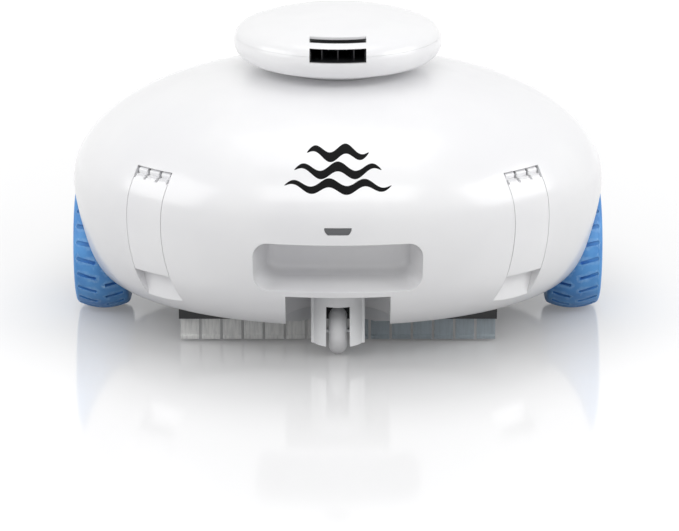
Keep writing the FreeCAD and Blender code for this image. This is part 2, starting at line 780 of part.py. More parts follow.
def pinion_place():
    """Where the pinion's axis crosses the YZ plane."""
    spacing = size("gear_module") * (size("gear_teeth") + size("pinion_teeth")) / 2
    angle = math.radians(size("pinion_angle"))
    return spacing * math.cos(angle), size("wheel_radius") + spacing * math.sin(angle)


def on_wheel_axis(shape, degrees, x, y, z):
    """Turn a form made about Z so that its axis is +X and its first tooth points at an angle from +Y."""
    shape.rotate(Vector(), UP, degrees)
    turn = Rotation(Vector(0, 1, 0), Vector(0, 0, 1), Vector(1, 0, 0), "ZXY")
    shape.Placement = Placement(Vector(x, y, z), turn).multiply(shape.Placement)
    return shape


def make_gears():
    """Wheel gear on the hub and the motor's pinion, in mesh at rest."""
    inner = size("arch_inner") + 1.0
    width, module = size("gear_width"), size("gear_module")
    radius_z = size("wheel_radius")
    teeth, small = size("gear_teeth"), size("pinion_teeth")
    gear = on_wheel_axis(involute_gear(teeth, module, size("gear_backlash"), width, size("bush_radius")),
                         size("pinion_angle"), inner, 0, radius_z)
    node_pair("wheel_gear", coded("right_wheel_gear_shape", gear))
    pinion_y, pinion_z = pinion_place()
    small_gear = involute_gear(small, module, size("gear_backlash"), width + 0.6, size("shaft_radius"))
    pinion = on_wheel_axis(small_gear, size("pinion_angle") + 180 + 180 / small, inner - 0.3,
                           pinion_y, pinion_z)
    node_pair("pinion", coded("right_pinion_shape", pinion))


def make_axles():
    """Steel axles, their bushes, and the caps that close the hubs."""
    axle = cylinder("right_axle_rod", "axle_radius", "wheel_outer - 3.5 - arch_inner + 20",
                    "arch_inner - 20", 0, "wheel_radius", ALONG_X)
    bush_tube = cylinder("right_bush_tube", "bush_radius", "wheel_outer - 5 - arch_inner - 1",
                         "arch_inner + 1", 0, "wheel_radius", ALONG_X)
    bush_bore = cylinder("right_bush_bore", "axle_radius + running_fit", "60", "arch_inner", 0,
                         "wheel_radius", ALONG_X)
    twin_node("wheel_axles", axle)
    node_pair("bush", cut("right_bush", bush_tube, bush_bore))
    body = new_body("hub_cap")
    revolution(body, "cap_form", [("0", "wheel_outer - 3"), ("hub_boss_radius - 2", "wheel_outer - 3"),
                                  ("hub_boss_radius - 2", "wheel_outer - 5"),
                                  ("hub_boss_radius + 4", "wheel_outer - 5"),
                                  ("hub_boss_radius + 4", "wheel_outer - 3.2"),
                                  ("hub_boss_radius + 1", "wheel_outer - 1.4"),
                                  ("hub_boss_radius - 4", "wheel_outer - 0.6"), ("0", "wheel_outer - 0.4")])
    body.setExpression("Placement.Base.z", on_sheet("wheel_radius"))
    body.Placement = Placement(Vector(0, 0, size("wheel_radius")), ALONG_X)
    body.setExpression("Placement.Base.z", on_sheet("wheel_radius"))
    node_pair("hub_cap", body)


def make_drive_motors():
    """Sealed gear motors behind the arch linings, and their output shafts."""
    pinion_y, pinion_z = pinion_place()
    start = size("arch_inner") - size("liner_wall") - size("drive_motor_length")
    can = Part.makeCylinder(size("drive_motor_radius"), size("drive_motor_length"),
                            Vector(start, pinion_y, pinion_z), Vector(1, 0, 0))
    tail = Part.makeCylinder(size("drive_motor_radius") * 0.55, 6, Vector(start - 6, pinion_y, pinion_z),
                             Vector(1, 0, 0))
    bore = Part.makeCylinder(size("shaft_radius") + size("running_fit"), 22,
                             Vector(start + size("drive_motor_length") - 20, pinion_y, pinion_z),
                             Vector(1, 0, 0))
    node_pair("drive_motor", coded("right_drive_motor_shape", can.fuse(tail).cut(bore).removeSplitter()))
    shaft = Part.makeCylinder(size("shaft_radius"), size("liner_wall") + size("gear_width") + 16,
                              Vector(size("arch_inner") - size("liner_wall") - 14, pinion_y, pinion_z),
                              Vector(1, 0, 0))
    node_pair("motor_shaft", coded("right_motor_shaft_shape", shaft))


# ------------------------------------------------------------------ caster
def make_caster():
    """Front caster: fork on a swivel pin, roller on its axle."""
    half = size("fork_width") / 2
    slot = size("fork_slot") / 2
    axis_y = -size("swivel_back")
    low, top = size("fork_bottom"), size("fork_top")
    front = Part.makeBox(2 * half, size("fork_front") - size("swivel_back"), top - low,
                         Vector(-half, -size("fork_front"), low))
    round_back = Part.makeCylinder(half, top - low, Vector(0, axis_y, low))
    fork = front.fuse(round_back).removeSplitter()
    upright = [e for e in fork.Edges if abs(e.BoundBox.YMax + size("fork_front")) < 0.01
               and e.BoundBox.ZLength > 10]
    fork = fork.makeFillet(1.2, upright)
    axle_y, axle_z = -size("caster_axle_back"), size("caster_radius")
    cuts = [Part.makeBox(2 * slot, 90, size("fork_slot_top"), Vector(-slot, -160, 0)),
            Part.makeCylinder(size("swivel_pin_radius") + size("running_fit"), 40,
                              Vector(0, axis_y, size("fork_slot_top") - 5)),
            Part.makeCylinder(size("caster_axle_radius"), 2 * half - 4, Vector(-half + 2, axle_y, axle_z),
                              Vector(1, 0, 0))]
    node("caster_fork", coded("caster_fork_shape", fork.cut(cuts)))
    node("caster_axle", cylinder("caster_axle_rod", "caster_axle_radius", "fork_width - 4", "-fork_width / 2 + 2",
                                 "-caster_axle_back", "caster_radius", ALONG_X))
    shank = cylinder("swivel_shank", "swivel_pin_radius", "bay_roof + 2.6 - fork_slot_top + 0.2", 0, "-swivel_back",
                     "fork_slot_top - 0.2")
    head = cone("swivel_head", "4", "6", "2.6", 0, "-swivel_back", "fork_slot_top - 2.8")
    node("swivel_pin", fuse("swivel_pin_form", shank, head))
    ring = cylinder("swivel_washer_ring", "12", "1.1", 0, "-swivel_back", "fork_top + 0.2")
    hole = cylinder("swivel_washer_hole", "swivel_pin_radius", "4", 0, "-swivel_back", "fork_top - 1")
    node("swivel_washer", cut("swivel_washer_form", ring, hole))
    node("caster_roller", coded("caster_roller_shape", roller_form(axle_y, axle_z)))


def roller_form(axle_y, axle_z):
    """A narrow roller with a rounded tread and a running bore."""
    half = size("caster_width") / 2
    radius = size("caster_radius")
    bore = size("caster_axle_radius") + size("running_fit")
    side = radius - half
    edges = [Part.makeLine(Vector(-half, 0, bore), Vector(-half, 0, side)),
             Part.Arc(Vector(-half, 0, side), Vector(0, 0, radius), Vector(half, 0, side)).toShape(),
             Part.makeLine(Vector(half, 0, side), Vector(half, 0, bore)),
             Part.makeLine(Vector(half, 0, bore), Vector(-half, 0, bore))]
    roller = Part.Face(Part.Wire(edges)).revolve(Vector(), Vector(1, 0, 0), 360)
    roller.translate(Vector(0, axle_y, axle_z))
    return roller


# ------------------------------------------------------------------ wiper
def make_wiper():
    """Row of flexible flaps whose beaded tops hang in a rail under the tray."""
    count, pitch = int(size("flap_count")), size("flap_pitch")
    y, low, top = -size("flap_back"), size("flap_low"), size("rail_low")
    thick = size("flap_thick")
    bead_z, bead = top + 3.5, 2.2
    section = [Vector(0, y - thick / 2 - 0.9, low), Vector(0, y + thick / 2, low), Vector(0, y + thick / 2, bead_z),
               Vector(0, y - thick / 2, bead_z), Vector(0, y - thick / 2, low + 3.4),
               Vector(0, y - thick / 2 - 0.9, low + 2.2)]
    blade = Part.Face(Part.makePolygon(section + section[:1])).extrude(Vector(size("flap_width"), 0, 0))
    roll = Part.makeCylinder(bead, size("flap_width"), Vector(0, y, bead_z), Vector(1, 0, 0))
    single = blade.fuse(roll).removeSplitter()
    first = -(count - 1) / 2 * pitch - size("flap_width") / 2
    flaps = []
    for i in range(count):
        flap = single.copy()
        flap.translate(Vector(first + i * pitch, 0, 0))
        flaps.append(flap)
    node("wiper_flaps", coded("wiper_flaps_shape", Part.makeCompound(flaps)))
    half = count * pitch / 2
    bar = Part.makeBox(2 * half, size("rail_depth"), size("rail_high") - top,
                       Vector(-half, y - size("rail_depth") / 2, top))
    groove = Part.makeCylinder(bead + 0.15, 2 * half - 2, Vector(-half + 1, y, bead_z), Vector(1, 0, 0))
    mouth = Part.makeBox(2 * half - 2, thick + 0.5, bead_z - top + 1,
                         Vector(-half + 1, y - thick / 2 - 0.25, top - 1))
    node("wiper_rail", coded("wiper_rail_shape", bar.cut([groove, mouth])))


# ------------------------------------------------------------------ head
def head_outline(inset):
    """Half section of the lens-shaped head, moved in by the inset, from its foot to its crown."""
    radius = size("head_radius") - inset
    rise, drop = size("head_rise") - inset, size("head_drop") - inset
    power = size("head_drop_power")
    lower, upper = [], []
    for degrees in range(90, -1, -15):
        angle = math.radians(degrees)
        share = abs(math.cos(angle)) ** (2 / power) if degrees < 90 else 0
        lower.append(Vector(radius * share, 0, size("head_equator") - drop * math.sin(angle) ** (2 / power)))
    for degrees in range(0, 91, 15):
        angle = math.radians(degrees)
        upper.append(Vector(radius * math.cos(angle) if degrees < 90 else 0, 0,
                            size("head_equator") + rise * math.sin(angle)))
    return lower, upper


def head_halves(inset):
    """Lower and upper half of the head as filled solids."""
    lower, upper = head_outline(inset)
    centre = Vector(0, 0, size("head_equator"))
    halves = []
    for points in (lower, upper):
        sides = [smooth(points), Part.makeLine(points[-1], centre), Part.makeLine(centre, points[0])]
        halves.append(Part.Face(Part.Wire(sides)).revolve(Vector(), UP, 360))
    return halves


def jet_forms(grow):
    """The wide jet slot in the head's front edge and the slit above it."""
    half = size("jet_width") / 2 + grow
    slot = Part.makeBox(2 * half, 40, size("jet_high") - size("jet_low") + 2 * grow,
                        Vector(-half, -size("head_radius") - 5, size("jet_low") - grow))
    ring = Part.makeCylinder(size("slit_outer") + grow, 20, Vector(0, 0, size("jet_high") + 1.5 - grow))
    ring = ring.cut(Part.makeCylinder(size("slit_inner") - grow, 20, Vector(0, 0, size("jet_high") + 1.5 - grow)))
    slit = ring.common(Part.makeBox(2 * half, 60, 60, Vector(-half, -size("head_radius") - 5, 190)))
    return slot, slit


def make_head():
    """Two-piece head shell on a short neck, with the black jet nozzle behind its slots."""
    wall = size("head_wall")
    lower, upper = head_halves(0)
    lower_in, upper_in = head_halves(wall)
    slot, slit = jet_forms(0)
    duct = Part.makeCylinder(size("duct_radius") + size("duct_wall") + 0.2, 60, Vector(0, 0, 160))
    crown = size("equator_height") + size("dome_rise")
    neck_low = crown - 14
    neck = Part.makeCylinder(size("neck_radius"), size("head_equator") - size("head_drop") + 3 - neck_low,
                             Vector(0, 0, neck_low)).cut(dome_solid(-0.3))
    bowl = lower.fuse(neck).cut([lower_in, duct, slot]).removeSplitter()
    cap = upper.cut([upper_in, slot, slit])
    node("head_lower_shell", coded("head_lower_shell_shape", bowl))
    node("head_upper_shell", coded("head_upper_shell_shape", cap))
    make_nozzle()


def make_nozzle():
    """Black nozzle: a curved box with a fanned set of vanes, seen through the two slots."""
    half = size("jet_width") / 2 + 3
    lower_in, upper_in = head_halves(size("head_wall") + 0.3)
    inside = lower_in.fuse(upper_in)
    low, high = size("jet_low") - 2.5, size("head_equator") + size("head_rise")
    block = Part.makeBox(2 * half, size("head_radius") - 38, high - low,
                         Vector(-half, -size("head_radius"), low)).common(inside)
    channel_half = size("jet_width") / 2 - 1
    throat = Part.makeBox(2 * channel_half, size("head_radius"), size("jet_high") - size("jet_low") - 1.0,
                          Vector(-channel_half, -size("head_radius") - 5, size("jet_low") + 0.5))
    upper_throat = Part.makeBox(2 * channel_half, 8, 20, Vector(-channel_half, -size("slit_outer") + 1.5,
                                                               size("jet_high") + 1.5))
    nozzle = block.cut([throat, upper_throat])
    vanes = []
    for degrees in (-24, -12, 0, 12, 24):
        vane = Part.makeBox(1.0, 22, size("jet_high") - size("jet_low") - 1.0,
                            Vector(-0.5, -22, 0))
        vane.rotate(Vector(), UP, degrees)
        vane.translate(Vector(math.sin(math.radians(degrees)) * 34, -44, size("jet_low") + 0.5))
        vanes.append(vane.common(block))
    node("jet_nozzle", coded("jet_nozzle_shape", nozzle.fuse(vanes).removeSplitter()))


# ------------------------------------------------------------------ pump
def make_pump():
    """Duct, pump motor, its spider, shaft seal and the impeller."""
    crown_z = "head_equator - head_drop + head_wall + 1"
    low = "pump_motor_high - 20"
    tube = cylinder("duct_tube", "duct_radius + duct_wall", "(%s) - (%s)" % (crown_z, low), 0, 0, low)
    bore = cylinder("duct_bore", "duct_radius", "200", 0, 0, "20")
    flare = cone("duct_flare", "duct_radius + 12", "duct_radius + duct_wall", "10", 0, 0, low)
    flare_bore = cone("duct_flare_bore", "duct_radius + 9", "duct_radius", "10", 0, 0, low + " - 0.01")
    node("outlet_duct", cut("outlet_duct_form", fuse("duct_outside", tube, flare), bore, flare_bore))
    can = cylinder("pump_can", "pump_motor_radius", "pump_motor_high - pump_motor_low", 0, 0, "pump_motor_low")
    nose = cone("pump_nose", "pump_motor_radius", "7", "4", 0, 0, "pump_motor_high")
    shaft_bore = cylinder("pump_shaft_bore", "shaft_radius + running_fit", "40", 0, 0, "pump_motor_high - 20")
    node("pump_motor", cut("pump_motor_form", fuse("pump_motor_outside", can, nose), shaft_bore))
    arms = []
    for i in range(3):
        arm = doc.addObject("Part::Box", "spider_arm_%d" % i)
        bind(arm, Length="duct_radius - pump_motor_radius - 1.2", Width="3", Height="12")
        turn = Rotation(UP, 120 * i + 30)
        start = turn.multVec(Vector(size("pump_motor_radius") + 0.9, -1.5, 0))
        arm.Placement = Placement(start, turn)
        reach = "(pump_motor_radius + 0.9)"
        arm.setExpression("Placement.Base.x", on_sheet("%s * %.6f" % (reach, turn.multVec(Vector(1, 0, 0)).x)))
        arm.setExpression("Placement.Base.y", on_sheet("%s * %.6f" % (reach, turn.multVec(Vector(1, 0, 0)).y)))
        arm.setExpression("Placement.Base.z", on_sheet("pump_motor_high - 18"))
        arms.append(arm)
    ring = cylinder("spider_ring", "pump_motor_radius + 2", "12", 0, 0, "pump_motor_high - 18")
    ring_bore = cylinder("spider_bore", "pump_motor_radius", "20", 0, 0, "pump_motor_high - 20")
    node("motor_spider", cut("motor_spider_form", fuse("spider_outside", ring, *arms), ring_bore))
    make_impeller()


def make_impeller():
    """Axial impeller with three pitched blades on a hub, and the shaft that turns it."""
    low, tall = size("impeller_low"), size("impeller_tall")
    hub = Part.makeCylinder(8, tall, Vector(0, 0, low))
    cap = Part.makeSphere(8, Vector(0, 0, low + tall), UP, 0, 90, 360)
    tip = size("duct_radius") - 1.0
    blades = []
    for i in range(3):
        blade = Part.makeBox(tip - 6, 2.0, tall * 1.25, Vector(6, -1.0, -tall * 0.625))
        blade.rotate(Vector(), Vector(1, 0, 0), 40)
        blade.translate(Vector(0, 0, low + tall / 2))
        blade.rotate(Vector(), UP, 120 * i)
        blades.append(blade)
    reach = Part.makeCylinder(tip, tall, Vector(0, 0, low))
    wheel = hub.fuse([cap] + blades).common(reach.fuse(cap))
    bore = Part.makeCylinder(size("shaft_radius"), tall - 2, Vector(0, 0, low))
    node("impeller", coded("impeller_shape", wheel.cut(bore).removeSplitter()))
    node("impeller_shaft", cylinder("impeller_shaft_rod", "shaft_radius",
                                    "impeller_low + impeller_tall - 2 - pump_motor_high + 15",
                                    0, 0, "pump_motor_high - 15"))


# ------------------------------------------------------------------ suction side
def make_inlets():
    """Suction throats on the tray, each closed by a hinged flap that stops debris falling out."""
    wall, gap = "throat_wall", 0.3
    left, right = "inlet_centre - inlet_width / 2", "inlet_centre + inlet_width / 2"
    front, rear = "-inlet_back - inlet_length / 2", "-inlet_back + inlet_length / 2"
    floor = "tray_bottom + tray_wall"
    outside = box("throat_outside", (left + " - " + wall, front + " - " + wall, floor),
                  (right + " + " + wall, rear + " + " + wall, "throat_top"))
    inside = box("throat_inside", (left, front, "0"), (right, rear, "throat_top + 10"))
    node_pair("suction_throat", cut("right_throat", outside, inside))
    hinge_z = "throat_top + 2.2"
    behind = rear + " + " + wall
    hinge_y = behind + " + 2.2"
    plate = box("valve_plate", (left + " - 1.2", front + " - 1.2", "throat_top + %s" % gap),
                (right + " + 1.2", rear + " + 0.6", "throat_top + %s + 1.6" % gap))
    tab = box("valve_tab", (left + " + 4", rear, "throat_top + %s" % gap),
              (right + " - 4", hinge_y, "throat_top + %s + 1.6" % gap))
    barrel = cylinder("valve_barrel", "1.9", "inlet_width - 8", left + " + 4", hinge_y, hinge_z, ALONG_X)
    bore = cylinder("valve_bore", "1.0 + running_fit", "inlet_width + 8", left + " - 4", hinge_y, hinge_z, ALONG_X)
    node_pair("inlet_valve", cut("right_valve", fuse("valve_outside", plate, tab, barrel), bore))
    pin = cylinder("valve_pin_rod", "1.0", "inlet_width", left, hinge_y, hinge_z, ALONG_X)
    posts = []
    for name, start in (("near", left), ("far", right + " - 2.5")):
        post = box("valve_post_" + name, (start, behind, "throat_top - 10"),
                   (start + " + 2.5", behind + " + 4.4", hinge_z + " + 2.2"))
        posts.append(post)
    twin_node("valve_pins", fuse("right_valve_pin", pin, *posts))


def make_basket():
    """Filter basket: an open frame over the throats with fine mesh panels."""
    half = "basket_width / 2"
    low, high = "tray_bottom + tray_wall + 1.6", "basket_high"
    frame = box("basket_outside", ("-" + half, "-basket_front", low), (half, "-basket_rear", high))
    hollow = box("basket_hollow", ("-" + half + " + 2", "-basket_front + 2", low + " - 1"),
                 (half + " - 2", "-basket_rear - 2", high + " - 2"))
    windows = []
    for i in range(4):
        start = "-%s + basket_rib + %d * (basket_width - basket_rib) / 4" % (half, i)
        window = box("basket_window_%d" % i, (start, "-basket_front - 5", low + " + basket_rib"),
                     (start + " + (basket_width - basket_rib) / 4 - basket_rib", "-basket_rear + 5",
                      high + " - basket_rib - 2"))
        windows.append(window)
    node("filter_frame", cut("filter_frame_form", frame, hollow, *windows))
    panels = []
    for name, y in (("front", "-basket_front + 2.1"), ("rear", "-basket_rear - 2.6")):
        panels.append(box("mesh_" + name, ("-" + half + " + 2.1", y, low + " + 1"),
                          (half + " - 2.1", y + " + 0.5", high + " - 2.1")))
    node("filter_mesh", group("filter_mesh_panels", *panels))


# ------------------------------------------------------------------ power
def make_battery():
    """Sealed battery box with its lid, seal, cells, control board and clamp screws."""
    half = "battery_width / 2"
    outside = box("battery_outside", ("-" + half, "battery_front", "battery_low"),
                  (half, "battery_rear", "battery_high"))
    inside = box("battery_inside", ("-" + half + " + 3", "battery_front + 3", "battery_low + 3"),
                 (half + " - 3", "battery_rear - 3", "battery_high + 1"))
    feet = []
    for i, (x, y) in enumerate((("-" + half + " + 8", "battery_front + 8"), (half + " - 8", "battery_front + 8"),
                                ("-" + half + " + 30", "battery_rear - 20"), (half + " - 30", "battery_rear - 20"))):
        feet.append(cylinder("battery_foot_%d" % i, "4", "battery_low - tray_bottom - tray_wall + 0.1", x, y,
                             "tray_bottom + tray_wall"))
    ears, holes, tabs, tab_holes, screws = [], [], [], [], []
    for i, (x, y) in enumerate(((side + half + shift, place_y) for side, shift in (("-", " - 3.5"), ("", " + 3.5"))
                                for place_y in ("battery_front + 14", "battery_rear - 14"))):
        ears.append(cylinder("battery_ear_%d" % i, "4.5", "14", x, y, "battery_high - 14"))
        holes.append(cylinder("battery_ear_hole_%d" % i, "screw_radius", "12", x, y, "battery_high - 10"))
        tabs.append(cylinder("lid_ear_%d" % i, "4.5", "3.4", x, y, "battery_high + 1.6"))
        tab_holes.append(cylinder("lid_ear_hole_%d" % i, "screw_radius", "12", x, y, "battery_high - 2"))
        shank = cylinder("lid_screw_shank_%d" % i, "screw_radius", "14.5", x, y, "battery_high - 9.4")
        head = cylinder("lid_screw_head_%d" % i, "2 * screw_radius", "2", x, y, "battery_high + 5")
        screws.append(fuse("lid_screw_%d" % i, shank, head))
    node("battery_box", cut("battery_box_form", fuse("battery_box_outside", outside, *(feet + ears)), inside, *holes))
    lid = box("battery_lid_plate", ("-" + half + " - 2", "battery_front - 2", "battery_high + 1.6"),
              (half + " + 2", "battery_rear + 2", "battery_high + 5"))
    node("battery_lid", cut("battery_lid_form", fuse("battery_lid_outside", lid, *tabs), *tab_holes))
    node("lid_screws", group("lid_screw_group", *screws))
    seal = box("seal_outside", ("-" + half + " + 0.3", "battery_front + 0.3", "battery_high"),
               (half + " - 0.3", "battery_rear - 0.3", "battery_high + 1.6"))
    seal_hole = box("seal_inside", ("-" + half + " + 2.7", "battery_front + 2.7", "battery_high - 1"),
                    (half + " - 2.7", "battery_rear - 2.7", "battery_high + 3"))
    node("battery_seal", cut("battery_seal_form", seal, seal_hole))
    cells = []
    for row in range(2):
        for column in range(3):
            cells.append(cylinder("cell_%d_%d" % (row, column), "cell_radius", "cell_length",
                                  "%s + %d * (cell_length + 2)" % ("-cell_length - 1", row),
                                  "battery_front + 3 + cell_radius + 0.3 + %d * (2 * cell_radius + 0.6)" % column,
                                  "battery_low + 3 + cell_radius", ALONG_X))
    node("battery_cells", group("battery_cell_group", *cells))
    board = box("board_plate", ("-" + half + " + 3.5", "battery_front + 6", "battery_low + 3 + 2 * cell_radius + 5"),
                (half + " - 3.5", "battery_rear - 6", "battery_low + 3 + 2 * cell_radius + 6.6"))
    posts = []
    for i, (x, y) in enumerate((("-" + half + " + 3.5", "battery_front + 6"), (half + " - 7.5", "battery_front + 6"),
                                ("-" + half + " + 3.5", "battery_rear - 10"), (half + " - 7.5", "battery_rear - 10"))):
        posts.append(box("board_post_%d" % i, (x, y, "battery_low + 3"),
                         (x + " + 4", y + " + 4", "battery_low + 3 + 2 * cell_radius + 5")))
    node("control_board", fuse("control_board_form", board, *posts))


def make_rear_controls():
    """Charging port with its pull-out plug, and the power button, in the rear of the cover."""
    wall_y = "body_depth / 2"
    side = "-port_side"
    sleeve = cylinder("port_sleeve", "port_radius", "14", side, wall_y + " - 16", "port_height", ALONG_Y)
    socket = cylinder("port_socket", "port_radius - 2.5", "11", side, wall_y + " - 12.9", "port_height", ALONG_Y)
    node("charge_port", cut("charge_port_form", sleeve, socket))
    stem = cylinder("plug_stem", "port_radius - 2.5 - 0.15", "8.2", side, wall_y + " - 10", "port_height", ALONG_Y)
    pull = cylinder("plug_head", "port_radius - 0.5", "1.5", side, wall_y + " - 1.9", "port_height", ALONG_Y)
    node("charge_plug", fuse("charge_plug_form", stem, pull))
    button_side = "port_side"
    cap = cylinder("button_cap", "button_radius", "6", button_side, wall_y + " - 7", "port_height", ALONG_Y)
    rod = cylinder("button_rod", "2.5", "8", button_side, wall_y + " - 14.5", "port_height", ALONG_Y)
    node("power_button", fuse("power_button_form", cap, rod))
    cup = cylinder("switch_cup", "button_radius + 2.5", "12.8", button_side, wall_y + " - 18", "port_height", ALONG_Y)
    well = cylinder("switch_well", "2.5 + 0.3", "12", button_side, wall_y + " - 17", "port_height", ALONG_Y)
    guide = cylinder("switch_guide", "button_radius + 0.3", "12", button_side, wall_y + " - 9.2", "port_height",
                     ALONG_Y)
    node("power_switch", cut("power_switch_form", cup, well, guide))


# ------------------------------------------------------------------ trim weights
def make_weights():
    """Ballast plates on the tray floor."""
    plates = []
    for side, low, high in (("left", "-114", "-92"), ("right", "92", "114")):
        plates.append(box("ballast_" + side, (low, "-22", "tray_bottom + tray_wall"),
                          (high, "26", "tray_bottom + tray_wall + 5")))
    node("ballast_plates", group("ballast_group", *plates))


make_dome()
make_latches()
make_status_light()
make_tray()
make_arch_liners()
make_tyre()
make_hub()
make_gears()
make_axles()
make_drive_motors()
make_caster()
make_wiper()
make_head()
make_pump()
make_inlets()
make_basket()
make_battery()
make_rear_controls()
make_weights()

doc.recompute()


# ------------------------------------------------------------------ check and write
def check_document():
    for thing in doc.Objects:
        for state in thing.State:
            if state in ("Invalid", "Error"):
                raise RuntimeError("%s is %s" % (thing.Label, state))
    for label, thing in NODES.items():
        if thing.Shape.isNull() or not thing.Shape.isValid():
            raise RuntimeError("%s has no valid shape" % label)
        if not thing.Shape.Solids:
            raise RuntimeError("%s holds no solid" % label)


def write_parts():
    os.makedirs("parts", exist_ok=True)
    for label, thing in NODES.items():
        thing.Shape.exportStep(os.path.join("parts", label + ".step"))


check_document()
write_parts()
for label, thing in sorted(NODES.items()):
    print("%-20s %d solid(s)  %10.1f mm3" % (label, len(thing.Shape.Solids), thing.Shape.Volume))
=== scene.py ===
import json
import math

import bmesh
import bpy
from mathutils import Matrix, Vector
from mathutils.bvhtree import BVHTree


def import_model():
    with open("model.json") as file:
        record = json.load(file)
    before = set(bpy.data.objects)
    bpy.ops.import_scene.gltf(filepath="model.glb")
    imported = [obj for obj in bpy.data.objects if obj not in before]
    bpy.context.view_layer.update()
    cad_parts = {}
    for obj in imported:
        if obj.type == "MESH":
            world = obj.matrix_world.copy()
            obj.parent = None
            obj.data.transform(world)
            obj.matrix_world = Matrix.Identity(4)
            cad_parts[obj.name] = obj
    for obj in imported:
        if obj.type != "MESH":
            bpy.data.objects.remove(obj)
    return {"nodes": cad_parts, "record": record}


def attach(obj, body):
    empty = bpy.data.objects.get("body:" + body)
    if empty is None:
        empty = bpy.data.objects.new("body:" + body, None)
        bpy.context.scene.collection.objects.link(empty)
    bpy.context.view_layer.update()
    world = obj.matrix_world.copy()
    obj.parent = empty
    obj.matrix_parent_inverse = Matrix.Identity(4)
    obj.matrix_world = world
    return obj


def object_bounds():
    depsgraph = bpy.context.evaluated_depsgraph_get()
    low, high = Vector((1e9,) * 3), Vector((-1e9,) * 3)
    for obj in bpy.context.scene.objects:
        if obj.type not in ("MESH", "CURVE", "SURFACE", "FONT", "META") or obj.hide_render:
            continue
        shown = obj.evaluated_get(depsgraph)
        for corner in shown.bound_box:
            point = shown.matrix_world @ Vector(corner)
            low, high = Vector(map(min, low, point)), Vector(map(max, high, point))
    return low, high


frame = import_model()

# Finish, small surface pieces, floor, light and camera for a cordless pool cleaner.
# Metres, +Z up, front towards -Y.  Every object shares the CAD frame, so object
# coordinates in a material are places on the cleaner.

CAD_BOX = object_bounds()
NODES = frame["nodes"]
FRONT = CAD_BOX[0][1]
MM = 0.001

# Bands of a noise texture's values: the middle, for soft clouds, and a wider one, for gloss.
CLOUDS = (0.35, 0.65)
GLOSS = (0.3, 0.7)

# The printed waves: height above the floor, half length, swell and number of crests.
PRINT_WAVES = (
    (138 * MM, 38 * MM, 2.34 * MM, 3),
    (147.5 * MM, 31 * MM, 2.52 * MM, 2.5),
    (157.5 * MM, 22 * MM, 2.34 * MM, 2),
)
PRINT_STROKE = 5.6 * MM     # thickness of a stroke at its middle
PRINT_POINT = 0.05 * MM     # and at its pointed ends
PRINT_LIFT = 0.05 * MM      # front of the ink, out from the shell
PRINT_SUNK = 0.2 * MM       # back of the ink, behind its front
PRINT_STEPS, PRINT_ROWS = 120, 4
RAY_START = 50 * MM         # in front of the cleaner, where the rays at the shell begin

FLOOR_SIZE = 24
FLOOR_BOUNCE = (0.2, 0.2, 0.205, 1)     # tone for light that goes on to the cleaner
FLOOR_SEEN = (0.56, 0.56, 0.565, 1)     # tone where it is seen or mirrored
# Glow where it is seen, with a painted shadow: weaker near the cleaner, stronger far off. From and to a
# distance, in metres, and the strength at each.
FLOOR_GLOW_PAINTED_SHADOW = ((0.1, 0.3, 0.12, 0.46), (0.3, 1.3, 0.0, 0.32))
FLOOR_POLISH = 0.2                      # share of mirror reflection
FLOOR_BLUR = 0.1

SURROUNDINGS_LIGHT = 0.48               # 1 where seen or mirrored

# Lamps: name, place, width, depth and power; each faces a point in the middle of the cleaner.
LAMPS = (
    ("overhead", (0, -0.05, 2.0), 1.6, 1.2, 7),
    ("front", (0, -1.6, 1.55), 2.0, 0.7, 11),
    ("left", (-1.7, -0.5, 0.9), 1.4, 1.0, 11),
    ("right", (1.7, -0.5, 0.9), 1.4, 1.0, 13.5),
)
LAMP_TARGET = (0, 0, 0.1)

CAMERA_PLACE = (0, -2.3097, 0.7721)
CAMERA_DOWN, CAMERA_TURN = 17.79, -0.03     # degrees
CAMERA_LENS, CAMERA_SENSOR = 168.9, 36      # millimetres


# ------------------------------------------------------------------ colour helpers
def linear(red, green, blue):
    """A display colour in 0..255 as the linear colour that shaders use."""
    def one(value):
        value /= 255
        return value / 12.92 if value <= 0.04045 else ((value + 0.055) / 1.055) ** 2.4
    return one(red), one(green), one(blue), 1.0


